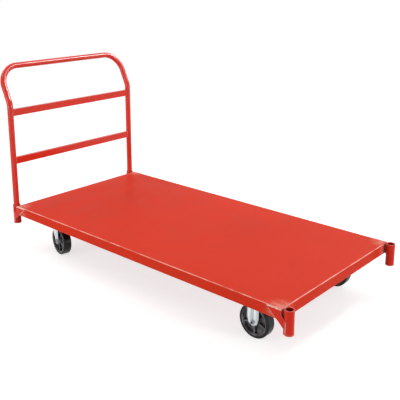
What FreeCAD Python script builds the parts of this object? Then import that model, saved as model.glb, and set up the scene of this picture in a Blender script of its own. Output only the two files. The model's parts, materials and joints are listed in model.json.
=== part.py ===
"""Platform cart: steel deck on two rigid and two swivel casters, with a lift-out pipe handle.

Frame: millimetres. X runs along the deck with the handle at the -X end, Y across it, +Z up.
The origin is on the floor, under the centre of the overall box. Left is +Y, seen looking to +X.
"""
import FreeCAD, Part
import math
import os
import Sketcher
from FreeCAD import Vector

SIZES = [
    ("deck_length", 1828.8, "deck, end to end"),
    ("deck_width", 914.4, "deck, side to side"),
    ("sheet", 2.7, "deck sheet thickness"),
    ("flange_depth", 50.8, "depth of the deck's turned-down edges"),
    ("bend_radius", 5.0, "outer radius of the deck's long bends"),
    ("corner_radius", 3.0, "upright corner of the deck, outside"),
    ("bolster_width", 127.0, "caster channel, outside width"),
    ("bolster_height", 56.3, "caster channel, between the caster plate and the deck sheet"),
    ("bolster_plate", 4.8, "caster channel thickness"),
    ("bolster_end_gap", 30.0, "caster channel end to the deck's side face"),
    ("stiffener_width", 76.0, "stiffener channel, outside width"),
    ("stiffener_depth", 38.0, "stiffener channel, depth under the sheet"),
    ("stiffener_plate", 3.0, "stiffener channel thickness"),
    ("socket_wall", 3.575, "socket tube wall"),
    ("socket_clearance", 0.825, "radial clearance of the handle pipe in a socket"),
    ("socket_length", 105.2, "socket tube length"),
    ("socket_rise", 2.0, "socket mouth above the deck"),
    ("socket_floor", 4.8, "thickness of the disc welded under a socket tube"),
    ("drain_hole", 8.0, "drain hole in a socket's disc"),
    ("spacer_plate", 4.8, "spacer between the end flange and a socket"),
    ("spacer_width", 14.0, "width of that spacer"),
    ("gusset_plate", 4.8, "gusset thickness"),
    ("gusset_reach", 72.0, "gusset top edge, back from the deck's end"),
    ("gusset_shoulder", 80.0, "where the gusset's slope meets its foot, below the deck top"),
    ("gusset_foot", 14.3, "width of the gusset's foot along the socket"),
    ("gusset_end", 105.0, "bottom of the gusset below the deck top"),
    ("slot_shoulder", 28.0, "slot beside the socket, full width down to here"),
    ("slot_tip", 45.0, "slot beside the socket, closed below here"),
    ("weld_gap", 0.05, "radial gap of pieces that are pressed or welded together"),
    ("pipe_outer", 33.4, "handle pipe outside diameter"),
    ("pipe_wall", 3.4, "handle pipe wall"),
    ("lean_start", 586.0, "deck top to the point where the handle leans back"),
    ("lean_rise", 197.0, "height of the leaning part, to the centre of the top bar"),
    ("lean_angle", 25.0, "lean of the handle's upper part, degrees"),
    ("lean_radius", 90.0, "centreline radius of the lean bends"),
    ("top_radius", 116.0, "centreline radius of the two top corners"),
    ("upper_rail_drop", 49.0, "upper rail's centre below the start of the lean"),
    ("lower_rail_rise", 260.0, "deck top to the lower rail's centre"),
    ("rail_height", 38.1, "rail section height"),
    ("rail_depth", 19.05, "rail section depth"),
    ("rail_wall", 2.0, "rail wall"),
    ("caster_inset_end", 212.4, "caster centre back from the deck's end"),
    ("caster_inset_side", 124.2, "caster centre in from the deck's side"),
    ("wheel_gap", 15.0, "wheel to the crown of the swivel fork"),
    ("plate_length", 114.3, "caster plate along the deck"),
    ("plate_width", 101.6, "caster plate across the deck"),
    ("plate_thickness", 5.0, "caster plate thickness"),
    ("bolt_spacing_long", 92.1, "caster bolt spacing along the deck"),
    ("bolt_spacing_wide", 66.7, "caster bolt spacing across the deck"),
    ("bolt_size", 9.5, "caster bolt diameter"),
    ("bolt_clearance", 0.5, "radial clearance of a caster bolt in its hole"),
    ("bolt_head", 6.0, "caster bolt head height"),
    ("nut_height", 8.0, "caster nut height"),
    ("bolt_proud", 3.0, "thread showing past a nut"),
    ("wheel_diameter", 160.0, "wheel over the tyre"),
    ("wheel_width", 46.0, "tyre and rim width"),
    ("tyre_thickness", 13.0, "tyre, tread to rim"),
    ("tyre_round", 6.0, "rounded shoulders of the tyre"),
    ("rim_thickness", 8.0, "rim of the wheel core"),
    ("web_thickness", 9.0, "web of the wheel core"),
    ("rib_thickness", 5.0, "radial ribs of the wheel core"),
    ("rim_inset", 1.0, "rim back from the tyre's side"),
    ("core_draft", 3.0, "taper of the wheel core between its web and its hub and rim"),
    ("rib_inset", 5.0, "ribs back from the rim's side"),
    ("rib_root", 1.0, "length of each rib end inside the hub and the rim"),
    ("hub_wall", 7.65, "wall of the wheel core's hub"),
    ("side_play", 0.5, "hub to fork leg"),
    ("bearing_wall", 4.695, "roller bearing wall"),
    ("bearing_inset", 2.0, "bearing end back from the hub's end"),
    ("sleeve_wall", 3.125, "axle sleeve wall"),
    ("axle_diameter", 12.7, "axle bolt diameter"),
    ("running_gap", 0.08, "radial gap of turning fits"),
    ("axle_head", 6.0, "axle bolt head and nut height"),
    ("axle_proud", 1.5, "axle thread showing past its nut"),
    ("fork_gap", 3.0, "rim to fork leg"),
    ("fork_plate", 4.0, "fork leg thickness"),
    ("fork_bend", 3.0, "radius inside the fork, where a leg meets the crown"),
    ("fork_width", 62.0, "rigid fork leg, along the deck"),
    ("fork_shoulder", 22.0, "rigid fork leg narrows this far above the axle"),
    ("fork_tip_width", 46.0, "rigid fork leg beside the axle"),
    ("fork_tip", 20.0, "fork leg below the axle"),
    ("fork_side", 5.0, "rigid fork leg's straight side ends this far below the axle"),
    ("trail", 38.0, "swivel caster, kingpin to axle"),
    ("trail_angle_left", -6.0, "swivel direction of the left caster, degrees from +X"),
    ("trail_angle_right", -12.0, "swivel direction of the right caster, degrees from +X"),
    ("kingpin_diameter", 16.0, "kingpin diameter"),
    ("kingpin_flange", 6.0, "kingpin head past its shank, all round"),
    ("kingpin_head_height", 6.0, "kingpin head height"),
    ("head_play", 0.3, "kingpin head to fork crown"),
    ("crown_diameter", 84.0, "round crown of the swivel fork"),
    ("crown_plate", 5.0, "crown thickness"),
    ("race_height", 3.0, "raised race under the swivel plate"),
    ("race_width", 16.0, "width of the ball race"),
    ("race_diameter", 60.0, "pitch circle of the race balls"),
    ("ball_diameter", 6.4, "race ball diameter"),
    ("ball_play", 0.3, "ball to each race"),
    ("ball_count", 16, "balls in one race"),
    ("leg_front", 21.0, "swivel fork leg's front edge, from the kingpin"),
    ("leg_drop", 26.0, "upright part of that edge, below the crown's top"),
    ("leg_reach", 16.0, "swivel fork leg, axle to its front and back edges"),
    ("leg_above", 4.0, "swivel fork leg's slope meets its end this far above the axle"),
    ("leg_below", 3.0, "swivel fork leg's end starts to narrow this far below the axle"),
]

HEX_CORNER = 2 / math.sqrt(3)
FLATS_RATIO = 1.5
RIB_COUNT = 5
OUTER_BEND = 1.5
INNER_BEND = 0.5
NEARLY = 0.9
TOLERANCE = 0.01
ENDS = {"front": 1, "rear": -1}
SIDES = {"left": 1, "right": -1}

doc = FreeCAD.newDocument("platform_cart")
table = doc.addObject("Spreadsheet::Sheet", "sizes")
nodes = []


class Size:
    """A length as a number and as the expression that ties it to the sheet."""

    def __init__(self, number, text):
        self.number = number
        self.text = text

    def __add__(self, other):
        other = as_size(other)
        return Size(self.number + other.number, f"({self.text} + {other.text})")

    def __sub__(self, other):
        other = as_size(other)
        return Size(self.number - other.number, f"({self.text} - {other.text})")

    def __mul__(self, other):
        other = as_size(other)
        return Size(self.number * other.number, f"({self.text} * {other.text})")

    def __truediv__(self, other):
        other = as_size(other)
        return Size(self.number / other.number, f"({self.text} / {other.text})")

    def __neg__(self):
        return Size(-self.number, f"(0 - {self.text})")

    __radd__ = __add__
    __rmul__ = __mul__


def as_size(value):
    """Wrap a plain number, and leave a Size as it is."""
    return value if isinstance(value, Size) else Size(float(value), f"({float(value)})")


def fill_sheet():
    """Write the driving dimensions, and return them by name."""
    found = {}
    for row, (name, value, note) in enumerate(SIZES, start=1):
        table.set(f"A{row}", name)
        table.set(f"B{row}", str(value))
        table.set(f"C{row}", note)
        table.setAlias(f"B{row}", name)
        found[name] = Size(float(value), f"sizes.{name}")
    doc.recompute()
    return found


S = fill_sheet()


def tangent(angle):
    """Tangent of an angle in degrees."""
    return Size(math.tan(math.radians(angle.number)), f"tan({angle.text})")


# Sizes that follow from what fits inside them.
SOCKET_BORE = S["pipe_outer"] + S["socket_clearance"] * 2
SOCKET_OUTER = SOCKET_BORE + S["socket_wall"] * 2
SLEEVE_OUTER = S["axle_diameter"] + (S["weld_gap"] + S["sleeve_wall"]) * 2
BEARING_OUTER = SLEEVE_OUTER + (S["running_gap"] + S["bearing_wall"]) * 2
HUB_DIAMETER = BEARING_OUTER + (S["weld_gap"] + S["hub_wall"]) * 2
BOLT_FLATS = S["bolt_size"] * FLATS_RATIO
AXLE_FLATS = S["axle_diameter"] * FLATS_RATIO
KINGPIN_HEAD = S["kingpin_diameter"] + S["kingpin_flange"] * 2

# Heights, from the floor up through the caster to the deck.
AXLE_HEIGHT = S["wheel_diameter"] / 2
CROWN_BOTTOM = S["wheel_diameter"] + S["wheel_gap"]
CROWN_TOP = CROWN_BOTTOM + S["crown_plate"]
PLATE_BOTTOM = CROWN_TOP + S["ball_diameter"] + S["ball_play"] * 2 + S["race_height"]
CASTER_HEIGHT = PLATE_BOTTOM + S["plate_thickness"]
UNDERSIDE = CASTER_HEIGHT + S["bolster_height"]
DECK_HEIGHT = UNDERSIDE + S["sheet"]

# Places that several pieces share.
LEAN_BACK = S["lean_rise"] * tangent(S["lean_angle"])
DECK_X = (LEAN_BACK + S["pipe_outer"] / 2 - SOCKET_OUTER / 2) / 2
HALF_LENGTH = S["deck_length"] / 2
HALF_WIDTH = S["deck_width"] / 2
SOCKET_OUT = S["spacer_plate"] + SOCKET_OUTER / 2
SOCKET_Y = HALF_WIDTH + S["gusset_plate"] - SOCKET_OUTER / 2
SOCKET_TOP = DECK_HEIGHT + S["socket_rise"]
SOCKET_BOTTOM = SOCKET_TOP - S["socket_length"]
CASTER_X = HALF_LENGTH - S["caster_inset_end"]
CASTER_Y = HALF_WIDTH - S["caster_inset_side"]
CROSS_LENGTH = S["deck_width"] - S["bolster_end_gap"] * 2
LEG_INSIDE = S["wheel_width"] / 2 + S["fork_gap"]
LEG_OUTSIDE = LEG_INSIDE + S["fork_plate"]
CORE_RADIUS = S["wheel_diameter"] / 2 - S["tyre_thickness"]


def bind(item, name, size):
    """Tie one property of an object to the sheet."""
    item.setExpression(name, as_size(size).text)


def place(item, x=0, y=0, z=0, axis=(0, 0, 1), angle=0):
    """Tie an object's placement to the sheet: moved to x, y, z and turned about axis."""
    x, y, z, angle = as_size(x), as_size(y), as_size(z), as_size(angle)
    spot = f"vector({x.text}; {y.text}; {z.text})"
    turn = f"rotation(vector({axis[0]}; {axis[1]}; {axis[2]}); {angle.text})"
    item.setExpression("Placement", f"placement({spot}; {turn})")


def keep(item, name):
    """Name a finished sub-part and list it for export."""
    item.Label = name
    nodes.append(item)
    return item


def new_body(name):
    return keep(doc.addObject("PartDesign::Body", f"body_{name}"), name)


def new_sketch(body, plane, height=None):
    """A sketch on one of the body's own planes, raised by height along its normal."""
    sketch = body.newObject("Sketcher::SketchObject", "outline")
    sketch.AttachmentSupport = [(origin_plane(body, plane), "")]
    sketch.MapMode = "FlatFace"
    if height is not None:
        bind(sketch, "AttachmentOffset.Base.z", height)
    return sketch


def origin_plane(body, plane):
    for feature in body.Origin.OriginFeatures:
        if feature.Role == f"{plane}_Plane":
            return feature
    raise ValueError(plane)


def pin_point(sketch, item, point, x, y):
    """Hold one point of a sketch at x, y from the sketch's origin."""
    for kind, value in (("DistanceX", x), ("DistanceY", y)):
        value = as_size(value)
        index = sketch.addConstraint(
            Sketcher.Constraint(kind, -1, 1, item, point, value.number))
        sketch.setExpression(f"Constraints[{index}]", value.text)


def polygon(sketch, points):
    """A closed outline of straight sides through the points."""
    points = [(as_size(x), as_size(y)) for x, y in points]
    corners = [Vector(x.number, y.number, 0) for x, y in points]
    first = sketch.GeometryCount
    count = len(corners)
    for index, corner in enumerate(corners):
        sketch.addGeometry(Part.LineSegment(corner, corners[(index + 1) % count]), False)
    for index in range(count):
        after = first + (index + 1) % count
        sketch.addConstraint(Sketcher.Constraint("Coincident", first + index, 2, after, 1))
    for index, (x, y) in enumerate(points):
        pin_point(sketch, first + index, 1, x, y)


def rectangle(sketch, x_low, x_high, y_low, y_high):
    polygon(sketch, [(x_low, y_low), (x_high, y_low), (x_high, y_high), (x_low, y_high)])


def circle(sketch, x, y, diameter):
    """A circle of a bound diameter at a bound centre."""
    x, y, diameter = as_size(x), as_size(y), as_size(diameter)
    centre = Vector(x.number, y.number, 0)
    ring = Part.Circle(centre, Vector(0, 0, 1), diameter.number / 2)
    item = sketch.addGeometry(ring, False)
    pin_point(sketch, item, 3, x, y)
    index = sketch.addConstraint(Sketcher.Constraint("Diameter", item, diameter.number))
    sketch.setExpression(f"Constraints[{index}]", diameter.text)


def pad(body, sketch, length, reverse=False, middle=False):
    feature = body.newObject("PartDesign::Pad", "pad")
    feature.Profile = sketch
    bind(feature, "Length", length)
    feature.Reversed = reverse
    feature.Midplane = middle
    doc.recompute()
    return feature


def pocket(body, sketch, length=None, reverse=False, middle=False):
    """Cut the sketch through the body, or to a depth. It must take material away."""
    before = body.Shape.Volume
    feature = body.newObject("PartDesign::Pocket", "pocket")
    feature.Profile = sketch
    if length is None:
        feature.Type = "ThroughAll"
    else:
        bind(feature, "Length", length)
    feature.Reversed = reverse
    feature.Midplane = middle
    doc.recompute()
    if body.Shape.Volume > before - TOLERANCE:
        raise RuntimeError(f"{body.Label}: a pocket cut nothing")
    return feature


def fillet(body, radius, chosen):
    """Round the edges of the body's last feature that the test chosen picks."""
    base = body.Tip
    names = []
    for index, edge in enumerate(base.Shape.Edges, start=1):
        if chosen(edge.BoundBox):
            names.append(f"Edge{index}")
    feature = body.newObject("PartDesign::Fillet", "fillet")
    feature.Base = (base, names)
    bind(feature, "Radius", radius)
    doc.recompute()
    return feature


def revolve(body, sketch):
    """Turn the sketch a full circle about its horizontal axis."""
    feature = body.newObject("PartDesign::Revolution", "turn")
    feature.Profile = sketch
    feature.ReferenceAxis = (sketch, ["H_Axis"])
    feature.Angle = 360
    doc.recompute()
    return feature


def near(value, size):
    return abs(value - size.number) < TOLERANCE


def flat_at(box, height):
    """Whether an edge lies in the level plane at height."""
    return near(box.ZMin, height) and near(box.ZMax, height)


def make_deck():
    """Sheet-steel pan: flat top with all four edges turned down."""
    body = new_body("deck_pan")
    sketch = new_sketch(body, "XY")
    rectangle(sketch, -HALF_LENGTH, HALF_LENGTH, -HALF_WIDTH, HALF_WIDTH)
    pad(body, sketch, S["flange_depth"], reverse=True)
    fillet(body, S["corner_radius"], lambda box: box.ZLength > S["flange_depth"].number / 2)
    fillet(body, S["bend_radius"], lambda box: flat_at(box, as_size(0)))
    inside = new_sketch(body, "XY", -S["sheet"])
    x_edge = HALF_LENGTH - S["sheet"]
    y_edge = HALF_WIDTH - S["sheet"]
    rectangle(inside, -x_edge, x_edge, -y_edge, y_edge)
    pocket(body, inside)
    fillet(body, S["bend_radius"] - S["sheet"], lambda box: flat_at(box, -S["sheet"]))
    place(body, DECK_X, 0, DECK_HEIGHT)


def make_channel(name, x, width, height, plate, holes=()):
    """A cross channel under the sheet, its web at the bottom."""
    body = new_body(name)
    sketch = new_sketch(body, "XZ")
    edge = width / 2
    inner = edge - plate
    polygon(sketch, [(-edge, 0), (-edge, -height), (edge, -height), (edge, 0),
                     (inner, 0), (inner, plate - height), (plate - edge, plate - height),
                     (plate - edge, 0)])
    pad(body, sketch, CROSS_LENGTH, middle=True)
    long_side = CROSS_LENGTH.number * NEARLY
    fillet(body, plate * OUTER_BEND, lambda box: flat_at(box, -height) and box.YLength > long_side)
    fillet(body, plate * INNER_BEND,
           lambda box: flat_at(box, plate - height) and box.YLength > long_side)
    if holes:
        drilled = new_sketch(body, "XY")
        for hole_x, hole_y in holes:
            circle(drilled, hole_x, hole_y, S["bolt_size"] + S["bolt_clearance"] * 2)
        pocket(body, drilled)
    place(body, x, 0, UNDERSIDE)


def bolt_places(side_y):
    """The four bolt centres of a caster whose centre is at side_y, from its own X."""
    half_long = S["bolt_spacing_long"] / 2
    half_wide = S["bolt_spacing_wide"] / 2
    return [(half_long * along, side_y + half_wide * across)
            for along in (-1, 1) for across in (-1, 1)]


def make_channels():
    holes = bolt_places(CASTER_Y) + bolt_places(-CASTER_Y)
    for end, sign in ENDS.items():
        make_channel(f"bolster_{end}", DECK_X + CASTER_X * sign, S["bolster_width"],
                     S["bolster_height"], S["bolster_plate"], holes)
    for name, share in (("rear", -0.5), ("middle", 0), ("front", 0.5)):
        make_channel(f"stiffener_{name}", DECK_X + CASTER_X * share, S["stiffener_width"],
                     S["stiffener_depth"], S["stiffener_plate"])


def make_socket(end, end_sign, side, side_sign):
    """One corner: tube, spacer to the end flange, and gusset to the side flange."""
    x = DECK_X + (HALF_LENGTH + SOCKET_OUT) * end_sign
    y = SOCKET_Y * side_sign

    tube = new_body(f"socket_{end}_{side}")
    ring = new_sketch(tube, "XY")
    circle(ring, 0, 0, SOCKET_OUTER)
    circle(ring, 0, 0, SOCKET_BORE)
    pad(tube, ring, S["socket_length"])
    place(tube, x, y, SOCKET_BOTTOM)

    spacer = keep(doc.addObject("Part::Box", "spacer"), f"spacer_{end}_{side}")
    bind(spacer, "Length", S["spacer_plate"])
    bind(spacer, "Width", S["spacer_width"])
    bind(spacer, "Height", S["flange_depth"] - S["bend_radius"])
    spacer_middle = DECK_X + (HALF_LENGTH + S["spacer_plate"] / 2) * end_sign
    place(spacer, spacer_middle - S["spacer_plate"] / 2, y - S["spacer_width"] / 2,
          DECK_HEIGHT - S["flange_depth"])

    gusset = new_body(f"gusset_{end}_{side}")
    profile = new_sketch(gusset, "XZ")
    foot = SOCKET_OUT - S["gusset_foot"]
    corners = [(-S["gusset_reach"], -S["bend_radius"]), (0, -S["bend_radius"]),
               (0, -S["slot_shoulder"]), (SOCKET_OUT, -S["slot_tip"]),
               (SOCKET_OUT, -S["gusset_end"]), (foot, -S["gusset_end"]),
               (foot, -S["gusset_shoulder"])]
    polygon(profile, [(as_size(u) * end_sign, v) for u, v in corners])
    pad(gusset, profile, S["gusset_plate"], reverse=side_sign > 0)
    coping = new_sketch(gusset, "XY")
    reach_in = (SOCKET_Y - HALF_WIDTH) * side_sign
    circle(coping, SOCKET_OUT * end_sign, reach_in, SOCKET_OUTER + S["weld_gap"] * 2)
    pocket(gusset, coping)
    place(gusset, DECK_X + HALF_LENGTH * end_sign, HALF_WIDTH * side_sign, DECK_HEIGHT)


def make_sockets():
    for end, end_sign in ENDS.items():
        for side, side_sign in SIDES.items():
            make_socket(end, end_sign, side, side_sign)


def cylinder(diameter, length, x, y, z, axis=(0, 0, 1), angle=0):
    item = doc.addObject("Part::Cylinder", "round")
    bind(item, "Radius", as_size(diameter) / 2)
    bind(item, "Height", length)
    place(item, x, y, z, axis, angle)
    return item


def hexagon(flats, length, x, y, z, axis=(0, 0, 1), angle=0):
    item = doc.addObject("Part::Prism", "hexagon")
    item.Polygon = 6
    bind(item, "Circumradius", flats / 2 * HEX_CORNER)
    bind(item, "Height", length)
    place(item, x, y, z, axis, angle)
    return item


def cut(base, tool):
    item = doc.addObject("Part::Cut", "cut")
    item.Base = base
    item.Tool = tool
    return item


def fuse(parts, name):
    """Join solids into one node. Solids that don't touch stay separate in it."""
    item = doc.addObject("Part::MultiFuse", "joined")
    item.Shapes = parts
    return keep(item, name)


def make_socket_floors():
    """Discs welded under the four socket tubes, each with a drain hole."""
    discs = []
    for end_sign in ENDS.values():
        for side_sign in SIDES.values():
            x = DECK_X + (HALF_LENGTH + SOCKET_OUT) * end_sign
            y = SOCKET_Y * side_sign
            z = SOCKET_BOTTOM - S["socket_floor"]
            disc = cylinder(SOCKET_OUTER, S["socket_floor"], x, y, z)
            drain = cylinder(S["drain_hole"], S["socket_floor"], x, y, z)
            discs.append(cut(disc, drain))
    fuse(discs, "socket_floors")


def handle_path():
    """Centreline of the bent pipe: two legs, two lean bends, two top corners."""
    leg_x = -HALF_LENGTH.number - SOCKET_OUT.number + DECK_X.number
    leg_y = SOCKET_Y.number
    foot_z = SOCKET_BOTTOM.number
    knee_z = (DECK_HEIGHT + S["lean_start"]).number
    top_z = knee_z + S["lean_rise"].number
    top_x = leg_x - LEAN_BACK.number
    stops = [Vector(leg_x, -leg_y, foot_z), Vector(leg_x, -leg_y, knee_z),
             Vector(top_x, -leg_y, top_z), Vector(top_x, leg_y, top_z),
             Vector(leg_x, leg_y, knee_z), Vector(leg_x, leg_y, foot_z)]
    radii = [S["lean_radius"].number, S["top_radius"].number]
    return rounded_wire(stops, radii + radii[::-1])


def rounded_wire(stops, radii):
    """Straight runs between the stops, each inner stop rounded with its radius."""
    edges = []
    start = stops[0]
    for before, corner, after, radius in zip(stops, stops[1:], stops[2:], radii):
        back = (before - corner).normalize()
        ahead = (after - corner).normalize()
        half = back.getAngle(ahead) / 2
        reach = radius / math.tan(half)
        enter = corner + back * reach
        leave = corner + ahead * reach
        middle = corner + (back + ahead).normalize() * (radius / math.sin(half) - radius)
        edges.append(Part.LineSegment(start, enter).toShape())
        edges.append(Part.Arc(enter, middle, leave).toShape())
        start = leave
    edges.append(Part.LineSegment(start, stops[-1]).toShape())
    return Part.Wire(edges)


def swept_round(path, diameter):
    """Solid of a round section carried along the path."""
    ring = Part.Circle(path.Vertexes[0].Point, Vector(0, 0, 1), diameter / 2).toShape()
    return path.makePipeShell([Part.Wire(ring)], True, True)


def make_handle():
    """Bent pipe handle, swept as a solid and bored along the same centreline."""
    path = handle_path()
    outer = S["pipe_outer"].number
    bore = outer - 2 * S["pipe_wall"].number
    handle = doc.addObject("Part::Feature", "handle_tube")
    handle.Shape = swept_round(path, outer).cut(swept_round(path, bore))
    keep(handle, "handle_tube")


def make_rail(name, rise):
    """Rectangular tube across the handle, coped to fit against both legs."""
    body = new_body(name)
    sketch = new_sketch(body, "XZ")
    depth = S["rail_depth"] / 2
    height = S["rail_height"] / 2
    wall = S["rail_wall"]
    rectangle(sketch, -depth, depth, -height, height)
    rectangle(sketch, wall - depth, depth - wall, wall - height, height - wall)
    pad(body, sketch, SOCKET_Y * 2, middle=True)
    legs = new_sketch(body, "XY")
    for sign in SIDES.values():
        circle(legs, 0, SOCKET_Y * sign, S["pipe_outer"] + S["weld_gap"] * 2)
    pocket(body, legs, S["rail_height"] * 2, middle=True)
    place(body, DECK_X - HALF_LENGTH - SOCKET_OUT, 0, DECK_HEIGHT + rise)


class Frame:
    """Where one caster stands: its swivel centre, its axle and its direction."""

    def __init__(self, end, side):
        sign = SIDES[side]
        swivels = end == "rear"
        self.name = f"{end}_{side}"
        self.x = DECK_X + CASTER_X * ENDS[end]
        self.y = CASTER_Y * sign
        self.outward = sign
        self.angle = S[f"trail_angle_{side}"] if swivels else as_size(0)
        self.trail = S["trail"] if swivels else as_size(0)
        radians = math.radians(self.angle.number)
        cosine = Size(math.cos(radians), f"cos({self.angle.text})")
        sine = Size(math.sin(radians), f"sin({self.angle.text})")
        self.axle_x = self.x + self.trail * cosine
        self.axle_y = self.y + self.trail * sine
        self.sine = sine
        self.cosine = cosine

    def at_axle(self, item):
        place(item, self.axle_x, self.axle_y, AXLE_HEIGHT, angle=self.angle)

    def at_plate(self, item, height):
        place(item, self.x, self.y, height, angle=self.angle)


def turned_body(name, points):
    """A body turned about the axle: points are (along the axle, radius)."""
    body = new_body(name)
    sketch = new_sketch(body, "YZ")
    polygon(sketch, points)
    revolve(body, sketch)
    return body, sketch


def tube_points(half, inner, outer):
    return [(-half, inner), (half, inner), (half, outer), (-half, outer)]


def make_tyre(frame):
    body, _ = turned_body(f"tyre_{frame.name}", tube_points(
        S["wheel_width"] / 2, CORE_RADIUS + S["weld_gap"], S["wheel_diameter"] / 2))
    tread = S["wheel_diameter"].number * NEARLY
    fillet(body, S["tyre_round"], lambda box: box.XLength > tread)
    frame.at_axle(body)


def make_core(frame):
    """Moulded wheel core: hub, thin web, rim, and ribs that radiate on both sides."""
    rim_half = S["wheel_width"] / 2 - S["rim_inset"]
    hub_half = LEG_INSIDE - S["side_play"]
    web_half = S["web_thickness"] / 2
    hub = HUB_DIAMETER / 2
    bore = BEARING_OUTER / 2 + S["weld_gap"]
    rim = CORE_RADIUS - S["rim_thickness"]
    draft = S["core_draft"]
    body, sketch = turned_body(f"wheel_core_{frame.name}", [
        (-hub_half, bore), (hub_half, bore), (hub_half, hub), (web_half, hub + draft),
        (web_half, rim), (rim_half, rim + draft), (rim_half, CORE_RADIUS),
        (-rim_half, CORE_RADIUS), (-rim_half, rim + draft), (-web_half, rim),
        (-web_half, hub + draft), (-hub_half, hub)])
    rib = new_sketch(body, "XZ")
    half_rib = S["rib_thickness"] / 2
    rectangle(rib, -half_rib, half_rib, -(rim + S["rib_root"]), S["rib_root"] - hub)
    ribs = pad(body, rib, (rim_half - S["rib_inset"]) * 2, middle=True)
    pattern = body.newObject("PartDesign::PolarPattern", "ribs")
    pattern.Originals = [ribs]
    pattern.Axis = (sketch, ["H_Axis"])
    pattern.Angle = 360
    pattern.Occurrences = RIB_COUNT
    body.Tip = pattern
    doc.recompute()
    frame.at_axle(body)


def make_wheel(frame):
    make_tyre(frame)
    make_core(frame)
    hub_half = LEG_INSIDE - S["side_play"]
    bearing, _ = turned_body(f"roller_bearing_{frame.name}", tube_points(
        hub_half - S["bearing_inset"], SLEEVE_OUTER / 2 + S["running_gap"],
        BEARING_OUTER / 2))
    frame.at_axle(bearing)
    sleeve, _ = turned_body(f"axle_sleeve_{frame.name}", tube_points(
        LEG_INSIDE, S["axle_diameter"] / 2 + S["weld_gap"], SLEEVE_OUTER / 2))
    frame.at_axle(sleeve)


def along_axle(frame, offset):
    """A point on the axle line, offset outwards from the wheel's middle plane."""
    out = as_size(offset) * frame.outward
    return frame.axle_x - out * frame.sine, frame.axle_y + out * frame.cosine


def turned_axle_part(frame, body):
    """Turn a body whose own X axis points outwards so that it lies along the axle."""
    x, y = along_axle(frame, 0)
    place(body, x, y, AXLE_HEIGHT, angle=frame.angle + 90 * frame.outward)


def hexagon_points(flats):
    """Six corners of a hexagon with two flats level."""
    corner = flats / 2 * HEX_CORNER
    return [(corner * round(math.cos(math.radians(turn)), 9),
             corner * round(math.sin(math.radians(turn)), 9)) for turn in range(0, 360, 60)]


def make_axle(frame):
    """Axle bolt with its head inboard, and its nut outboard."""
    bolt = new_body(f"axle_bolt_{frame.name}")
    head = new_sketch(bolt, "YZ", -LEG_OUTSIDE)
    polygon(head, hexagon_points(AXLE_FLATS))
    pad(bolt, head, S["axle_head"], reverse=True)
    shank = new_sketch(bolt, "YZ", -LEG_OUTSIDE)
    circle(shank, 0, 0, S["axle_diameter"])
    pad(bolt, shank, LEG_OUTSIDE * 2 + S["axle_head"] + S["axle_proud"])
    turned_axle_part(frame, bolt)

    nut = new_body(f"axle_nut_{frame.name}")
    ring = new_sketch(nut, "YZ", LEG_OUTSIDE)
    polygon(ring, hexagon_points(AXLE_FLATS))
    circle(ring, 0, 0, S["axle_diameter"] + S["weld_gap"] * 2)
    pad(nut, ring, S["axle_head"])
    turned_axle_part(frame, nut)


def plate_with_holes(body, height):
    """The caster's mounting plate, its underside at height, drilled for four bolts."""
    sketch = new_sketch(body, "XY", height)
    half_long = S["plate_length"] / 2
    half_wide = S["plate_width"] / 2
    rectangle(sketch, -half_long, half_long, -half_wide, half_wide)
    for x, y in bolt_places(as_size(0)):
        circle(sketch, x, y, S["bolt_size"] + S["bolt_clearance"] * 2)
    return sketch


def hollow_fork(body, top):
    """Open a solid fork block between its legs, from the crown down."""
    inside = new_sketch(body, "YZ")
    rectangle(inside, -LEG_INSIDE, LEG_INSIDE, -AXLE_HEIGHT, top)
    pocket(body, inside, S["wheel_diameter"] * 2, middle=True)
    fillet(body, S["fork_bend"], lambda box: flat_at(box, top) and near_leg(box))


def near_leg(box):
    """Whether an edge runs along the inside of a fork leg."""
    return box.XLength > S["fork_tip"].number and box.YLength < TOLERANCE and near(abs(box.YMin), LEG_INSIDE)


def drill_axle(body, x):
    """Axle hole through both legs."""
    hole = new_sketch(body, "XZ")
    circle(hole, x, AXLE_HEIGHT, S["axle_diameter"] + S["weld_gap"] * 2)
    pocket(body, hole, LEG_OUTSIDE * 4, middle=True)


def make_rigid_fork(frame):
    """Fixed caster frame: a plate with two legs pressed down from it."""
    body = new_body(f"rigid_fork_{frame.name}")
    legs = new_sketch(body, "XZ")
    half = S["fork_width"] / 2
    tip_half = S["fork_tip_width"] / 2
    shoulder = AXLE_HEIGHT + S["fork_shoulder"]
    beside = AXLE_HEIGHT - S["fork_side"]
    polygon(legs, [(-half, PLATE_BOTTOM), (-half, shoulder), (-tip_half, beside),
                   (0, AXLE_HEIGHT - S["fork_tip"]), (tip_half, beside), (half, shoulder),
                   (half, PLATE_BOTTOM)])
    pad(body, legs, LEG_OUTSIDE * 2, middle=True)
    hollow_fork(body, PLATE_BOTTOM - S["fork_plate"])
    plate = plate_with_holes(body, PLATE_BOTTOM)
    pad(body, plate, S["plate_thickness"])
    drill_axle(body, 0)
    place(body, frame.x, frame.y, 0)


def make_swivel_plate(frame):
    """Mounting plate of a swivel caster, with the raised upper ball race under it."""
    body = new_body(f"swivel_plate_{frame.name}")
    plate = plate_with_holes(body, PLATE_BOTTOM)
    circle(plate, 0, 0, S["kingpin_diameter"] + S["weld_gap"] * 2)
    pad(body, plate, S["plate_thickness"])
    race = new_sketch(body, "XY", PLATE_BOTTOM)
    circle(race, 0, 0, S["race_diameter"] + S["race_width"])
    circle(race, 0, 0, S["race_diameter"] - S["race_width"])
    pad(body, race, S["race_height"], reverse=True)
    place(body, frame.x, frame.y, 0)


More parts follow.
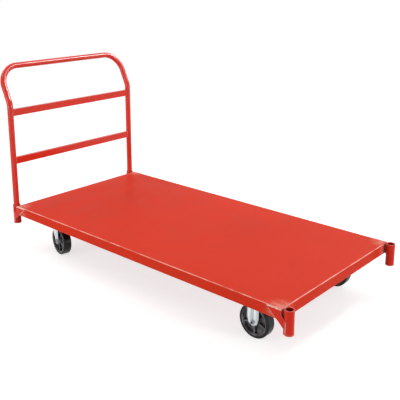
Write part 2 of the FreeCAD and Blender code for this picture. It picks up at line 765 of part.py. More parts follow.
def make_swivel_fork(frame):
    """Swivelling caster frame: a round crown with two raked legs."""
    body = new_body(f"swivel_fork_{frame.name}")
    crown = new_sketch(body, "XY", CROWN_BOTTOM)
    circle(crown, 0, 0, S["crown_diameter"])
    pad(body, crown, S["crown_plate"])
    legs = new_sketch(body, "XZ")
    front = -S["leg_front"]
    before = S["trail"] - S["leg_reach"]
    back = S["trail"] + S["leg_reach"]
    narrows = AXLE_HEIGHT - S["leg_below"]
    polygon(legs, [(front, CROWN_TOP), (front, CROWN_TOP - S["leg_drop"]),
                   (before, AXLE_HEIGHT + S["leg_above"]), (before, narrows),
                   (S["trail"], AXLE_HEIGHT - S["fork_tip"]),
                   (back, narrows), (back, CROWN_TOP)])
    pad(body, legs, LEG_OUTSIDE * 2, middle=True)
    hollow_fork(body, CROWN_BOTTOM)
    pin_hole = new_sketch(body, "XY", CROWN_TOP)
    circle(pin_hole, 0, 0, S["kingpin_diameter"] + S["running_gap"] * 2)
    pocket(body, pin_hole, S["crown_plate"] * 2)
    drill_axle(body, S["trail"])
    frame.at_plate(body, 0)


def make_kingpin(frame):
    """Kingpin riveted flush into the plate, its head under the fork's crown."""
    x, y = frame.x, frame.y
    head_top = CROWN_BOTTOM - S["head_play"]
    head_bottom = head_top - S["kingpin_head_height"]
    shank = cylinder(S["kingpin_diameter"], CASTER_HEIGHT - head_bottom,
                     x, y, head_bottom)
    head = cylinder(KINGPIN_HEAD, S["kingpin_head_height"], x, y, head_bottom)
    fuse([shank, head], f"kingpin_{frame.name}")


def make_balls(frame):
    """Race balls between the swivel plate and the fork's crown."""
    balls = []
    count = int(S["ball_count"].number)
    radius = S["race_diameter"] / 2
    for index in range(count):
        turn = 2 * math.pi * index / count
        ball = doc.addObject("Part::Sphere", "ball")
        bind(ball, "Radius", S["ball_diameter"] / 2)
        place(ball, frame.x + radius * math.cos(turn), frame.y + radius * math.sin(turn),
              CROWN_TOP + S["ball_play"] + S["ball_diameter"] / 2)
        balls.append(ball)
    fuse(balls, f"race_balls_{frame.name}")


def make_caster_fasteners(frames):
    """Bolts up through the caster plates and channels, and the nuts on top of them."""
    bolts = []
    nuts = []
    web_top = CASTER_HEIGHT + S["bolster_plate"]
    for frame in frames:
        for along, across in bolt_places(frame.y):
            x = frame.x + along
            head_z = PLATE_BOTTOM - S["bolt_head"]
            length = web_top + S["nut_height"] + S["bolt_proud"] - head_z
            bolts.append(hexagon(BOLT_FLATS, S["bolt_head"], x, across, head_z))
            bolts.append(cylinder(S["bolt_size"], length, x, across, head_z))
            nut = hexagon(BOLT_FLATS, S["nut_height"], x, across, web_top)
            hole = cylinder(S["bolt_size"] + S["weld_gap"] * 2, S["nut_height"],
                            x, across, web_top)
            nuts.append(cut(nut, hole))
    fuse(bolts, "caster_bolts")
    fuse(nuts, "caster_nuts")


def make_casters():
    frames = [Frame(end, side) for end in ENDS for side in SIDES]
    for frame in frames:
        make_wheel(frame)
        make_axle(frame)
        if frame.name.startswith("front"):
            make_rigid_fork(frame)
        else:
            make_swivel_plate(frame)
            make_swivel_fork(frame)
            make_kingpin(frame)
            make_balls(frame)
    make_caster_fasteners(frames)


def check_and_export():
    """Stop on any failed object or bad shape, then write one STEP file for each node."""
    doc.recompute()
    for item in doc.Objects:
        if "Invalid" in item.State or "Error" in item.State:
            raise RuntimeError(f"{item.Name} ({item.Label}) failed: {item.State}")
    for item in nodes:
        if item.Shape.isNull() or not item.Shape.isValid() or not item.Shape.Solids:
            raise RuntimeError(f"{item.Label} has no valid solid")
    os.makedirs("parts", exist_ok=True)
    for item in nodes:
        item.Shape.exportStep(os.path.join("parts", f"{item.Label}.step"))
    print(f"{len(nodes)} nodes written")


make_deck()
make_channels()
make_sockets()
make_socket_floors()
make_handle()
make_rail("upper_rail", S["lean_start"] - S["upper_rail_drop"])
make_rail("lower_rail", S["lower_rail_rise"])
make_casters()
check_and_export()
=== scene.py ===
"""Platform cart: finishes, weld beads, small fittings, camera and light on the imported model.

Metres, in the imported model's frame: +X to the front, +Y to the left, +Z up.
"""

import json
import math
import random

import bmesh
import bpy
from mathutils import Matrix, Vector

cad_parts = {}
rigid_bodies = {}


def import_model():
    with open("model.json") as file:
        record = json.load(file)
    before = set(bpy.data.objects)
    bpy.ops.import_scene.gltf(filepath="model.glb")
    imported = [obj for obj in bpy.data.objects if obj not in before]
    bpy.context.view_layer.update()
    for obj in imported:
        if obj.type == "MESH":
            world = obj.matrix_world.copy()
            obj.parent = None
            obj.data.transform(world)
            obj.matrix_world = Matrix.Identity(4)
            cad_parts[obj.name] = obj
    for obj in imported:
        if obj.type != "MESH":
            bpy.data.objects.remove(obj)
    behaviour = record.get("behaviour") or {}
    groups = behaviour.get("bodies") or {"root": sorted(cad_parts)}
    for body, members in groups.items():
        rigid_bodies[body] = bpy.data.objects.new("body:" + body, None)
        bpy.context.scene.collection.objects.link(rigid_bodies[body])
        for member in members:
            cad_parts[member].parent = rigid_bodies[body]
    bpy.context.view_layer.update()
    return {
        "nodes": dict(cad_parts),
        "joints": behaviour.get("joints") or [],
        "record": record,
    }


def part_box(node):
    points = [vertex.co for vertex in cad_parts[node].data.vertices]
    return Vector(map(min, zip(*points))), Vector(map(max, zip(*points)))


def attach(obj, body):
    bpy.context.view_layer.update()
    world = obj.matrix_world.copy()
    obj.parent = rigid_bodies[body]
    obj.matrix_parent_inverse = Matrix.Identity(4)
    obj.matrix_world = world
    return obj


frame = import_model()

ENDS = {"front": 1, "rear": -1}
SIDES = {"left": 1, "right": -1}


# Node helpers.

def srgb(red, green, blue):
    """A colour written as 0 to 255 screen values, as linear RGBA."""
    def linear(value):
        value /= 255
        return value / 12.92 if value <= 0.04045 else ((value + 0.055) / 1.055) ** 2.4
    return (linear(red), linear(green), linear(blue), 1)


def scaled(colour, factor, lift=0.0):
    """A linear colour times factor, plus lift, kept within range."""
    return [min(1, part * factor + lift) for part in colour[:3]] + [1]


# The colour sockets of a Mix node, which has a set for each kind of value.
MIX_FIRST, MIX_SECOND, MIX_RESULT = 6, 7, 2

# The cosine between the rounded and the true normal where an edge starts, and is full.
EDGE_STARTS, EDGE_FULL = 0.965, 0.8

# The ambient occlusion that counts as deep in a gap, and as open, for the painted shade in
# gaps.
GAP_DEEP, GAP_OPEN = 0.2, 0.8


class Nodes:
    """A material's node tree with short calls for the nodes used here."""

    def __init__(self, name):
        self.material = bpy.data.materials.new(name)
        self.material.use_nodes = True
        self.tree = self.material.node_tree
        self.tree.nodes.clear()
        self.out = self.add("ShaderNodeOutputMaterial")
        self.shader = self.add("ShaderNodeBsdfPrincipled")
        self.link(self.shader, "BSDF", self.out, "Surface")
        self.where = self.add("ShaderNodeTexCoord")

    def add(self, kind, **settings):
        node = self.tree.nodes.new(kind)
        for key, value in settings.items():
            setattr(node, key, value)
        return node

    def link(self, start, out_name, end, in_name):
        self.tree.links.new(start.outputs[out_name], end.inputs[in_name])

    def feed(self, socket, value):
        """Join a socket to another node's output, or set it to a plain value."""
        if isinstance(value, bpy.types.NodeSocket):
            self.tree.links.new(value, socket)
        elif value is not None:
            socket.default_value = value

    def place(self, scale=(1, 1, 1)):
        """The object's own coordinates, in metres, stretched by scale."""
        mapping = self.add("ShaderNodeMapping")
        self.feed(mapping.inputs["Vector"], self.where.outputs["Object"])
        mapping.inputs["Scale"].default_value = scale
        return mapping.outputs["Vector"]

    def noise(self, scale, detail=2.0, rough=0.5, stretch=(1, 1, 1), distortion=0.0):
        node = self.add("ShaderNodeTexNoise")
        self.feed(node.inputs["Vector"], self.place(stretch))
        node.inputs["Scale"].default_value = scale
        node.inputs["Detail"].default_value = detail
        node.inputs["Roughness"].default_value = rough
        node.inputs["Distortion"].default_value = distortion
        return node.outputs["Fac"]

    def cells(self, scale):
        node = self.add("ShaderNodeTexVoronoi")
        self.feed(node.inputs["Vector"], self.place())
        node.inputs["Scale"].default_value = scale
        return node.outputs["Distance"]

    def math(self, operation, first, second=None):
        node = self.add("ShaderNodeMath", operation=operation)
        for socket, value in zip(node.inputs, (first, second)):
            self.feed(socket, value)
        return node.outputs["Value"]

    def ramp(self, value, low, high, to_low=0.0, to_high=1.0):
        """Map low..high to to_low..to_high, smoothly and clamped."""
        node = self.add("ShaderNodeMapRange", interpolation_type="SMOOTHSTEP")
        self.feed(node.inputs["Value"], value)
        for name, number in (("From Min", low), ("From Max", high),
                             ("To Min", to_low), ("To Max", to_high)):
            node.inputs[name].default_value = number
        return node.outputs["Result"]

    def mix(self, factor, first, second):
        node = self.add("ShaderNodeMix", data_type="RGBA")
        self.feed(node.inputs["Factor"], factor)
        self.feed(node.inputs[MIX_FIRST], first)
        self.feed(node.inputs[MIX_SECOND], second)
        return node.outputs[MIX_RESULT]

    def bump(self, height, distance, strength=1.0, normal=None):
        node = self.add("ShaderNodeBump")
        node.inputs["Strength"].default_value = strength
        node.inputs["Distance"].default_value = distance
        self.feed(node.inputs["Height"], height)
        self.feed(node.inputs["Normal"], normal)
        return node.outputs["Normal"]

    def split(self, output="Object"):
        """X, Y and Z of a coordinate output."""
        node = self.add("ShaderNodeSeparateXYZ")
        self.feed(node.inputs[0], self.where.outputs[output])
        return node.outputs["X"], node.outputs["Y"], node.outputs["Z"]

    def edge(self, radius):
        """How much a point is on a sharp edge, from 0 to 1, and its rounded normal."""
        bevel = self.add("ShaderNodeBevel", samples=6)
        bevel.inputs["Radius"].default_value = radius
        geometry = self.add("ShaderNodeNewGeometry")
        dot = self.add("ShaderNodeVectorMath", operation="DOT_PRODUCT")
        self.feed(dot.inputs[0], bevel.outputs["Normal"])
        self.feed(dot.inputs[1], geometry.outputs["Normal"])
        return (self.ramp(dot.outputs["Value"], EDGE_STARTS, EDGE_FULL),
                bevel.outputs["Normal"])

    def painted_gap_shade(self, reach):
        """1 in the open, falling towards 0 deep in gaps, bores and corners: the mask for
        painted shade.
        """
        shade = self.add("ShaderNodeAmbientOcclusion", samples=8)
        shade.inputs["Distance"].default_value = reach
        return self.ramp(shade.outputs["AO"], GAP_DEEP, GAP_OPEN)

    def set(self, **values):
        """Set the shader's sockets: underscores in a name stand for spaces."""
        for name, value in values.items():
            self.feed(self.shader.inputs[name.replace("_", " ")], value)
        return self.material


# Finishes.

def paint(name, base, pale_wear_and_highlight, rough, shine, wear_and_highlight_amount=0.5, peel=0.00012, gap_shade_reach=0.02,
          rounding=0.0016, deck=False, pipe=False):
    """Red powder coat: orange peel, faint mottling, paler thin paint on the edges that is
    partly abraded paint and partly a painted highlight, and painted shade in gaps.

    peel is the depth of the orange peel, the gap reach how near a gap the paint is darkened as
    painted shade, and rounding the radius of the paler edges, in metres. On a pipe, which has
    no edge to soften, the shading keeps the true normal.
    """
    n = Nodes(name)
    mottle = n.noise(scale=7, detail=4, rough=0.55)
    cloud = n.noise(scale=1.6, detail=2, rough=0.5)
    speck = n.noise(scale=900, detail=2, rough=0.6)
    body = n.mix(n.ramp(mottle, 0.3, 0.7), scaled(base, 0.955), base)
    pale = scaled(base, 1.05, lift=0.004)
    body = n.mix(n.ramp(cloud, 0.35, 0.65, 0.0, 0.6), body, pale)
    body = n.mix(n.ramp(speck, 0.5, 0.75, 0.0, 0.07), body, pale_wear_and_highlight)
    # Paler edges: partly thin, abraded paint and partly a painted highlight.
    edge, soft = n.edge(rounding)
    broken = n.ramp(n.noise(scale=55, detail=3, rough=0.6), 0.36, 0.6, 0.25, 1.0)
    rub_and_highlight = n.math("MULTIPLY", edge, broken)
    # The deck also takes the painted highlight along its bends and the paler corner areas.
    if deck:
        rub_and_highlight = n.math("MAXIMUM", rub_and_highlight, deck_highlight_and_wear(n))
    colour = n.mix(n.math("MULTIPLY", rub_and_highlight, wear_and_highlight_amount), body, pale_wear_and_highlight)
    scuff = n.noise(scale=60, detail=3, rough=0.7, stretch=(0.25, 3, 1), distortion=0.4)
    scuff = n.ramp(scuff, 0.64, 0.76, 0.0, 0.07)
    colour = n.mix(scuff, colour, pale_wear_and_highlight)
    # Painted shade: the paint goes a dark red deep in gaps, bores and corners.
    colour = n.mix(n.painted_gap_shade(gap_shade_reach), scaled(base, 0.18), colour)
    height = n.math("ADD", n.noise(scale=420, detail=2, rough=0.5),
                    n.math("MULTIPLY", n.noise(scale=60, detail=2), 0.8))
    normal = n.bump(height, peel, 0.6, None if pipe else soft)
    dull = n.math("ADD", n.ramp(mottle, 0.3, 0.7, rough - 0.03, rough + 0.04),
                  n.math("MULTIPLY", scuff, 0.9))
    dull = n.math("SUBTRACT", dull, n.math("MULTIPLY", rub_and_highlight, 0.12))
    return n.set(Base_Color=colour, Roughness=dull, Normal=normal,
                 Specular_IOR_Level=shine)


def deck_highlight_and_wear(n):
    """Paler paint along the deck's bends, partly thin paint and partly a painted highlight,
    and where its corners were welded and ground, partly a painted sheen.
    """
    x, y, z = n.split("Normal")
    biggest = n.math("MAXIMUM", n.math("ABSOLUTE", x), n.math("ABSOLUTE", y))
    biggest = n.math("MAXIMUM", biggest, n.math("ABSOLUTE", z))
    # Painted highlight along the bends, broken up by noise.
    crest = n.ramp(biggest, 0.985, 0.86)
    streak = n.ramp(n.noise(scale=9, detail=3, rough=0.6), 0.38, 0.56, 0.35, 1.0)
    low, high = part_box("deck_pan")
    across, along, up = n.split()
    from_middle = n.math("SUBTRACT", across, (low.x + high.x) / 2)
    end = n.math("SUBTRACT", n.math("ABSOLUTE", from_middle), (high.x - low.x) / 2)
    side = n.math("SUBTRACT", n.math("ABSOLUTE", along), high.y)
    reach = n.math("SQRT", n.math("ADD", n.math("MULTIPLY", end, end),
                                  n.math("MULTIPLY", side, side)))
    # Paler areas near the corners: ground welds, partly a painted sheen.
    ground = n.math("MULTIPLY", n.ramp(reach, 0.10, 0.02, 0.0, 0.5),
                    n.ramp(n.noise(scale=45, detail=3, rough=0.6), 0.35, 0.6, 0.3, 1.0))
    return n.math("MAXIMUM", n.math("MULTIPLY", crest, streak), ground)


def weld_paint(name, base, pale_wear_and_highlight, pale):
    """Paint over weld beads: uneven gloss, and patches as pale as pale says, partly paler
    paint and partly painted glints.
    """
    n = Nodes(name)
    glint_patch = n.noise(scale=240, detail=3, rough=0.6)
    colour = n.mix(n.ramp(glint_patch, 0.34, 0.56, 0.0, pale), base, pale_wear_and_highlight)
    normal = n.bump(n.noise(scale=900, detail=3, rough=0.6), 0.0004, 0.7)
    return n.set(Base_Color=colour, Roughness=n.ramp(glint_patch, 0.3, 0.7, 0.42, 0.22),
                 Normal=normal)


def zinc(name, bright, dark, rough, grain=(1, 1, 1)):
    """Plated or plain steel: cloudy patches, bright edges, partly rubbed plating and partly a
    painted highlight, lines drawn out by grain, dark streaks along the grain that are painted
    shade, and painted shade in gaps.
    """
    n = Nodes(name)
    lines = n.noise(scale=500, detail=3, rough=0.6, stretch=grain)
    cloud = n.noise(scale=40, detail=3, rough=0.6)
    spots = n.ramp(n.cells(160), 0.05, 0.25, 0.35, 0.0)
    tone = n.mix(n.ramp(lines, 0.3, 0.7), dark, bright)
    tone = n.mix(n.ramp(cloud, 0.35, 0.7, 0.0, 0.45), tone, dark)
    tone = n.mix(spots, tone, dark)
    # Painted shade: dark streaks along the grain.
    shade_band = n.ramp(n.noise(scale=110, detail=2, rough=0.5, stretch=grain), 0.46, 0.6, 0.0, 0.5)
    tone = n.mix(shade_band, tone, scaled(dark, 0.42))
    # Edges brightened, partly rubbed plating and partly a painted highlight.
    edge, soft = n.edge(0.0008)
    tone = n.mix(n.math("MULTIPLY", edge, 0.6), tone, bright)
    normal = n.bump(lines, 0.00006, 0.5, soft)
    # Painted shade: the metal goes dark deep in gaps and recesses.
    tone = n.mix(n.painted_gap_shade(0.012), scaled(dark, 0.4), tone)
    dull = n.math("ADD", n.ramp(cloud, 0.3, 0.7, rough - 0.05, rough + 0.08),
                  n.math("MULTIPLY", spots, 0.3))
    return n.set(Base_Color=tone, Metallic=1.0, Roughness=dull, Normal=normal)


def moulded(name, base, pale_wear_and_highlight, rough):
    """Black wheel polymer: moulded grain, dusty tone, rib edges paler, partly rubbed and
    partly a painted highlight, and painted shade in the recesses.
    """
    n = Nodes(name)
    dust = n.ramp(n.noise(scale=30, detail=4, rough=0.6), 0.4, 0.72, 0.0, 0.5)
    colour = n.mix(dust, base, pale_wear_and_highlight)
    edge, soft = n.edge(0.0012)
    # Painted highlight along the rib edges, partly rubbed polymer.
    colour = n.mix(n.math("MULTIPLY", edge, 0.8), colour, pale_wear_and_highlight)
    # Painted shade: near black deep in the wheel's recesses, by the hub and ribs.
    colour = n.mix(n.painted_gap_shade(0.025), scaled(base, 0.25), colour)
    normal = n.bump(n.noise(scale=1400, detail=2, rough=0.6), 0.00008, 0.6, soft)
    return n.set(Base_Color=colour, Normal=normal,
                 Roughness=n.ramp(dust, 0.0, 0.5, rough, rough + 0.18),
                 Specular_IOR_Level=0.35)


def rubber(name, base, dusty):
    """Hard rubber tyre: fine grain, dust in the pores and faint rubbed streaks."""
    n = Nodes(name)
    dust = n.ramp(n.noise(scale=70, detail=5, rough=0.65), 0.45, 0.75, 0.0, 0.4)
    fine = n.noise(scale=1100, detail=2, rough=0.7)
    colour = n.mix(dust, base, dusty)
    colour = n.mix(n.ramp(fine, 0.5, 0.75, 0.0, 0.3), colour, dusty)
    height = n.math("ADD", fine, n.math("MULTIPLY", n.noise(scale=180, detail=3), 0.7))
    return n.set(Base_Color=colour, Normal=n.bump(height, 0.0002, 0.6),
                 Roughness=n.ramp(dust, 0.0, 0.4, 0.3, 0.5), Specular_IOR_Level=0.25)


RED = srgb(217, 50, 22)
RED_LOW = srgb(222, 42, 20)
RED_HANDLE = srgb(222, 43, 16)
# Pale pinks for abraded paint, also used as painted highlights on edges, bends and welds.
PINK_WEAR_AND_HIGHLIGHT = srgb(247, 186, 170)
PALE_PINK_WEAR_AND_HIGHLIGHT = srgb(253, 216, 204)
ZINC = srgb(236, 241, 243)
ZINC_DARK = srgb(196, 204, 208)
STEEL = srgb(176, 178, 182)
STEEL_DARK = srgb(120, 122, 126)
STEEL_BLACK = srgb(40, 40, 42)
WHEEL_BLACK = srgb(66, 64, 66)
WHEEL_DUST_AND_HIGHLIGHT = srgb(205, 204, 207)
TYRE_BLACK = srgb(9, 9, 10)
TYRE_DUSTY = srgb(40, 39, 41)

FINISHES = {
    "deck_paint": paint("deck_paint", RED, PINK_WEAR_AND_HIGHLIGHT, rough=0.46, shine=0.05, wear_and_highlight_amount=0.92,
                        deck=True),
    "frame_paint": paint("frame_paint", RED_LOW, PINK_WEAR_AND_HIGHLIGHT, rough=0.45, shine=0.12),
    # Socket rims and corners: strongly paler edges, partly a painted highlight, and painted
    # shade reaching further into bores and slots.
    "corner_paint": paint("corner_paint", RED_LOW, PALE_PINK_WEAR_AND_HIGHLIGHT, rough=0.32, shine=0.13,
                          wear_and_highlight_amount=0.95, gap_shade_reach=0.04, rounding=0.0026),
    "handle_paint": paint("handle_paint", RED_HANDLE, PINK_WEAR_AND_HIGHLIGHT, rough=0.2, shine=0.33,
                          wear_and_highlight_amount=0.2, peel=0.00002, pipe=True),
    "fork_zinc": zinc("fork_zinc", ZINC, ZINC_DARK, rough=0.34, grain=(1, 1, 0.04)),
    "fastener_zinc": zinc("fastener_zinc", ZINC_DARK, STEEL, rough=0.3),
    "bearing_steel": zinc("bearing_steel", STEEL, STEEL_DARK, rough=0.35),
    "wheel_core": moulded("wheel_core", WHEEL_BLACK, WHEEL_DUST_AND_HIGHLIGHT, rough=0.28),
    "tyre": rubber("tyre", TYRE_BLACK, TYRE_DUSTY),
}
WELD = weld_paint("weld_paint", RED_LOW, PINK_WEAR_AND_HIGHLIGHT, pale=0.3)
# Ground welds: patches at full strength, partly painted glints along the gusset's edges.
GROUND_WELD_AND_GLINT = weld_paint("ground_weld_and_glint_paint", RED_LOW, PALE_PINK_WEAR_AND_HIGHLIGHT, pale=1.0)
# Near-black steel for the grease nipples, also standing as painted shade at the middle of the
# axle nuts.
DARK_FITTING_AS_SHADE = zinc("dark_fitting_shade", STEEL_DARK, STEEL_BLACK, rough=0.4)

for part in frame["record"]["subparts"]:
    node = frame["nodes"][part["node"]]
    node.data.materials.clear()
    node.data.materials.append(FINISHES[part["material_slot"]])


# Weld beads and small fittings.

# A bead's ripples: their spacing and shape, and its tapered ends, as shares of its radius.
RIPPLE_PITCH = 0.3
RIPPLE_SHAPE = (0.84, 0.95, 1.0)
BEAD_END = 0.5

# Bead radii, in metres.
GUSSET_TOP_BEAD = 0.0036
GUSSET_SLANT_BEAD = 0.0034
SOCKET_OUTER_BEAD = 0.0021
SOCKET_INNER_BEAD = 0.0018
SPACER_DECK_BEAD = 0.0018
SPACER_SOCKET_BEAD = 0.0015
DISC_BEAD = 0.0011
DECK_CORNER_BEAD = 0.0010
RAIL_BEAD = 0.0017
CHANNEL_BEAD = 0.0028

# The gusset's slant runs this far along the deck for its drop below the deck's top.
GUSSET_RUN, GUSSET_DROP = 0.0836, 0.075

# Where the gusset meets its socket, back from the socket's centre: outer and inner face.
OUTER_SEAM, INNER_SEAM = 0.0045, 0.0140

HANDLE_PIPE_RADIUS = 0.0167

# Stitch welds along each side of a cross channel.
STITCHES = 6
STITCH_LENGTH = 0.044

# From the wheel's middle to the outer face of its axle bolt's head.
BOLT_FACE = 0.0375

# A grease nipple: distance along the axle and radius, from its seat to its tip.
NIPPLE_PROFILE = [(-0.0005, 0.0054), (0.0014, 0.0054), (0.0020, 0.0046), (0.0021, 0.0020),
                  (0.0032, 0.0017), (0.0038, 0.0024), (0.0047, 0.0026), (0.0055, 0.0021),
                  (0.0059, 0.0008)]


class Solids:
    """Several closed forms gathered into one mesh piece."""

    def __init__(self, name, body, material, slot):
        self.name, self.body, self.material, self.slot = name, body, material, slot
        self.points, self.faces = [], []

    def tube(self, path, radii, closed=False, sides=8):
        """A round tube along the path, its radius given for each point."""
        first = len(self.points)
        count = len(path)
        for index, centre in enumerate(path):
            before = path[index - 1] if index or closed else centre
            after = path[(index + 1) % count] if index + 1 < count or closed else centre
            ahead = (after - before).normalized()
            steep = abs(ahead.z) >= 0.9
            helper = Vector((1, 0, 0)) if steep else Vector((0, 0, 1))
            across = ahead.cross(helper).normalized()
            up = across.cross(ahead)
            for side in range(sides):
                turn = 2 * math.pi * side / sides
                outward = across * math.cos(turn) + up * math.sin(turn)
                self.points.append(centre + outward * radii[index])
        for ring in range(count if closed else count - 1):
            for side in range(sides):
                after = (ring + 1) % count
                beside = (side + 1) % sides
                here, there = first + ring * sides, first + after * sides
                self.faces.append((here + side, here + beside, there + beside, there + side))
        if not closed:
            self.faces.append(tuple(first + side for side in reversed(range(sides))))
            last = first + (count - 1) * sides
            self.faces.append(tuple(last + side for side in range(sides)))

    def bead(self, stops, size, closed=False):
        """A rippled weld bead through the stops, of about size in radius."""
        chance = random.Random(f"{self.name} {len(self.points)}")
        corners = stops + stops[:1] if closed else stops
        path, radii = [], []
        for start, end in zip(corners, corners[1:]):
            steps = max(1, round((end - start).length / (size * RIPPLE_PITCH)))
            for step in range(steps):
                drift = Vector([chance.uniform(-0.05, 0.05) * size for _ in range(3)])
                path.append(start.lerp(end, step / steps) + drift)
                crest = RIPPLE_SHAPE[len(path) % len(RIPPLE_SHAPE)]
                radii.append(size * crest * chance.uniform(0.95, 1.05))
        if not closed:
            path.append(stops[-1])
            radii.append(size * BEAD_END)
            radii[0] = size * BEAD_END
        self.tube(path, radii, closed)

    def turned(self, base, axis, profile, sides=20):
        """A turned form: profile holds (distance along the axis, radius)."""
        path = [base + axis * along for along, radius in profile]
        self.tube(path, [radius for along, radius in profile], sides=sides)

    def finish(self):
        mesh = bpy.data.meshes.new(self.name)
        mesh.from_pydata([tuple(p) for p in self.points], [], self.faces)
        mesh.polygons.foreach_set("use_smooth", [len(f) == 4 for f in self.faces])
        mesh.materials.append(self.material)
        piece = bpy.data.objects.new(self.name, mesh)
        bpy.context.scene.collection.objects.link(piece)
        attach(piece, self.body)


def corner_welds():
    """Beads that hold each socket, spacer and gusset to the deck, and the disc under it.

    Offsets of a millimetre or two seat each bead on the faces that it joins.
    """
    deck_low, deck_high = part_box("deck_pan")
    for end, end_sign in ENDS.items():
        for side, side_sign in SIDES.items():
            corner = f"{end}_{side}"
            gusset_low, gusset_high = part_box(f"gusset_{corner}")
            tube_low, tube_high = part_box(f"socket_{corner}")
            spacer_low, spacer_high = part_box(f"spacer_{corner}")
            deck_end = deck_high.x if end_sign > 0 else deck_low.x
            far = gusset_low.x if end_sign > 0 else gusset_high.x
            outer = gusset_high.y if side_sign > 0 else gusset_low.y
            face = deck_high.y * side_sign
            top, foot = gusset_high.z, deck_low.z
            middle_x, middle_y = ((tube_low + tube_high) / 2).xy
            radius = (tube_high.x - tube_low.x) / 2

            welds = Solids(f"outer_welds_{corner}", "platform", GROUND_WELD_AND_GLINT, "corner_paint")
            y, z = face + side_sign * 0.0019, top + 0.0006
            welds.bead([Vector((far, y, z)), Vector((deck_end - end_sign * 0.002, y, z))],
                       GUSSET_TOP_BEAD)
            slant = (top - foot) * GUSSET_RUN / GUSSET_DROP
            y = face + side_sign * 0.0008
            welds.bead([Vector((far - end_sign * 0.001, y, top)),
                        Vector((far + end_sign * (slant - 0.001), y, foot + 0.001))],
                       GUSSET_SLANT_BEAD)
            x, y = middle_x - end_sign * OUTER_SEAM, outer - side_sign * 0.0006
            welds.bead([Vector((x, y, gusset_low.z + 0.002)),
                        Vector((x, y, gusset_low.z + 0.054))], SOCKET_OUTER_BEAD)
            welds.finish()

            welds = Solids(f"inner_welds_{corner}", "platform", WELD, "corner_paint")
            x, y = middle_x - end_sign * INNER_SEAM, face - side_sign * 0.0006
            welds.bead([Vector((x, y, gusset_low.z + 0.003)),
                        Vector((x, y, gusset_low.z + 0.050))], SOCKET_INNER_BEAD)
            for across in (spacer_low.y, spacer_high.y):
                outward = 1 if across > middle_y else -1
                x, y = deck_end + end_sign * 0.0006, across + outward * 0.0006
                welds.bead([Vector((x, y, spacer_low.z)), Vector((x, y, spacer_high.z))],
                           SPACER_DECK_BEAD)
                x = middle_x - end_sign * math.sqrt(radius ** 2 - (across - middle_y) ** 2)
                y = y + outward * 0.0008
                welds.bead([Vector((x, y, spacer_low.z)), Vector((x, y, spacer_high.z))],
                           SPACER_SOCKET_BEAD)
            ring = [Vector((middle_x + radius * math.cos(turn * math.pi / 18),
                            middle_y + radius * math.sin(turn * math.pi / 18), tube_low.z))
                    for turn in range(36)]
            welds.bead(ring, DISC_BEAD, closed=True)
            x, y = deck_end - end_sign * 0.0009, face - side_sign * 0.0009
            welds.bead([Vector((x, y, foot)), Vector((x, y, deck_high.z - 0.007))],
                       DECK_CORNER_BEAD)
            welds.finish()


def rail_welds():
    """A bead round each rail end, where it is coped to the handle pipe."""
    pipe_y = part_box("handle_tube")[1].y - HANDLE_PIPE_RADIUS
    welds = Solids("welds_handle", "handle", WELD, "handle_paint")
    for rail in ("upper_rail", "lower_rail"):
        low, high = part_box(rail)
        middle = (low.x + high.x) / 2
        half = (high.x - low.x) / 2
        around = [(-half + half * step / 3, high.z) for step in range(7)]
        around += [(half - half * step / 3, low.z) for step in range(7)]
        for sign in SIDES.values():
            stops = []
            for x, z in around:
                reach = math.sqrt(HANDLE_PIPE_RADIUS ** 2 - x * x)
                stops.append(Vector((middle + x, sign * (pipe_y - reach), z)))
            welds.bead(stops, RAIL_BEAD, closed=True)
    welds.finish()


def channel_welds():
    """Stitch welds between the cross channels and the deck sheet."""
    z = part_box("bolster_front")[1].z - 0.001
    for name in ("bolster_front", "bolster_rear",
                 "stiffener_front", "stiffener_middle", "stiffener_rear"):
        low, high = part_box(name)
        welds = Solids(f"welds_{name}", "platform", WELD, "frame_paint")
        pitch = (high.y - low.y) / STITCHES
        for edge, outward in ((low.x, -1), (high.x, 1)):
            x = edge + outward * 0.001
            for stitch in range(STITCHES):
                start = low.y + pitch * (stitch + 0.5) - STITCH_LENGTH / 2
                welds.bead([Vector((x, start, z)), Vector((x, start + STITCH_LENGTH, z))],
                           CHANNEL_BEAD)
        welds.finish()


def axle_fittings():
    """A grease nipple in the outer end of each axle bolt, near black, which also stands as
    painted shade in the hole at the middle of the axle nut.
    """
    for joint in frame["joints"]:
        if not joint["name"].startswith("spin_"):
            continue
        corner = joint["name"][len("spin_"):]
        axis = Vector(joint["axis"]) * SIDES[corner.split("_")[1]]
        nipple = Solids(f"grease_nipple_{corner}", joint["parent"], DARK_FITTING_AS_SHADE,
                        "fastener_zinc")
        nipple.turned(Vector(joint["pos_m"]) + axis * BOLT_FACE, axis, NIPPLE_PROFILE)
        nipple.finish()


corner_welds()
rail_welds()
channel_welds()
axle_fittings()


# Camera, light and floor.

def make_camera():
    data = bpy.data.cameras.new("camera")
    camera = bpy.data.objects.new("camera", data)
    bpy.context.scene.collection.objects.link(camera)
    data.sensor_width = 36
    data.lens = 60.49
    data.shift_y = -0.16
    data.clip_end = 200
    camera.location = (2.3197, -2.493, 1.554)
    turn, down = math.radians(131.4), math.radians(13.72)
    ahead = Vector((math.cos(turn) * math.cos(down), math.sin(turn) * math.cos(down),
                    -math.sin(down)))
    camera.rotation_euler = ahead.to_track_quat("-Z", "Y").to_euler()
    bpy.context.scene.camera = camera


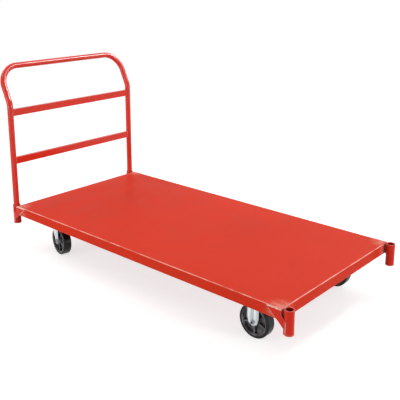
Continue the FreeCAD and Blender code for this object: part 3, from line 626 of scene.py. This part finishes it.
def softbox(name, where, target, width, height, power, along=(0, 0, 1),
            gloss_only=False):
    """A rectangular lamp at where, facing target, its height laid as near to along as it goes.

    A gloss_only lamp shows in shiny paint and adds no light to plain surfaces.
    """
    data = bpy.data.lights.new(name, "AREA")
    data.shape = "RECTANGLE"
    data.size = width
    data.size_y = height
    data.energy = power
    lamp = bpy.data.objects.new(name, data)
    bpy.context.scene.collection.objects.link(lamp)
    lamp.visible_camera = False
    lamp.visible_diffuse = not gloss_only
    lamp.location = where
    back = (Vector(where) - Vector(target)).normalized()
    across = Vector(along).cross(back).normalized()
    turned = Matrix((across, back.cross(across), back)).transposed()
    lamp.rotation_euler = turned.to_euler()


def make_world(ambient):
    """Even light of strength ambient, seen as white by the camera and in reflections."""
    world = bpy.data.worlds.new("studio")
    bpy.context.scene.world = world
    world.use_nodes = True
    tree = world.node_tree
    tree.nodes.clear()
    path = tree.nodes.new("ShaderNodeLightPath")
    seen = tree.nodes.new("ShaderNodeMath")
    seen.operation = "MAXIMUM"
    glass = tree.nodes.new("ShaderNodeMath")
    glass.operation = "MAXIMUM"
    strength = tree.nodes.new("ShaderNodeMix")
    strength.data_type = "FLOAT"
    strength.inputs["A"].default_value = ambient
    strength.inputs["B"].default_value = 1.0
    background = tree.nodes.new("ShaderNodeBackground")
    background.inputs["Color"].default_value = (1, 1, 1, 1)
    out = tree.nodes.new("ShaderNodeOutputWorld")
    tree.links.new(path.outputs["Is Camera Ray"], seen.inputs[0])
    tree.links.new(path.outputs["Is Glossy Ray"], seen.inputs[1])
    tree.links.new(seen.outputs[0], glass.inputs[0])
    tree.links.new(path.outputs["Is Transmission Ray"], glass.inputs[1])
    tree.links.new(glass.outputs[0], strength.inputs["Factor"])
    tree.links.new(strength.outputs["Result"], background.inputs["Strength"])
    tree.links.new(background.outputs["Background"], out.inputs["Surface"])


# The floor's half width in metres, its two greys, and the light that lifts it to white
# for the camera and in reflections.
FLOOR_HALF = 60
FLOOR_DARK, FLOOR_PALE = (0.52, 0.52, 0.52, 1), (0.54, 0.54, 0.54, 1)
FLOOR_LIFT = 0.70


def make_floor():
    """A wide pale floor that keeps the cart's shadow and otherwise reads as white."""
    mesh = bpy.data.meshes.new("floor")
    shape = bmesh.new()
    bmesh.ops.create_grid(shape, x_segments=1, y_segments=1, size=FLOOR_HALF)
    shape.to_mesh(mesh)
    shape.free()
    floor = bpy.data.objects.new("floor", mesh)
    bpy.context.scene.collection.objects.link(floor)
    n = Nodes("floor")
    n.tree.nodes.remove(n.shader)
    grain = n.noise(scale=3, detail=3, rough=0.5)
    matte = n.add("ShaderNodeBsdfDiffuse")
    n.feed(matte.inputs["Color"], n.mix(grain, FLOOR_DARK, FLOOR_PALE))
    lift = n.add("ShaderNodeEmission")
    path = n.add("ShaderNodeLightPath")
    seen = n.math("MAXIMUM", path.outputs["Is Camera Ray"], path.outputs["Is Glossy Ray"])
    seen = n.math("MAXIMUM", seen, path.outputs["Is Transmission Ray"])
    n.feed(lift.inputs["Strength"], n.math("MULTIPLY", seen, FLOOR_LIFT))
    both = n.add("ShaderNodeAddShader")
    n.feed(both.inputs[0], matte.outputs["BSDF"])
    n.feed(both.inputs[1], lift.outputs["Emission"])
    n.feed(n.out.inputs["Surface"], both.outputs["Shader"])
    mesh.materials.append(n.material)


make_camera()
make_world(ambient=0.57)
make_floor()
softbox("overhead", where=(-2.6, -1.3, 3.4), target=(0, 0, 0.25),
        width=2.4, height=0.4, power=38)
softbox("front", where=(4.8, 0.9, 0.95), target=(-0.4, 0, 0.5),
        width=0.5, height=1.9, power=50)
softbox("far_side", where=(1.5, 2.97, 4.1), target=(-1.0, 0, 1.0),
        width=0.5, height=2.4, power=75, along=(0, 1, 0))
softbox("far_gloss", where=(1.7, 2.97, 3.8), target=(-1.0, 0, 1.0),
        width=1.1, height=2.4, power=560, along=(0, 1, 0), gloss_only=True)
softbox("near_side", where=(-1.6, -4.6, 0.95), target=(-0.1, 0, 0.4),
        width=0.9, height=1.9, power=62)

scene = bpy.context.scene
scene.view_settings.view_transform = "Standard"
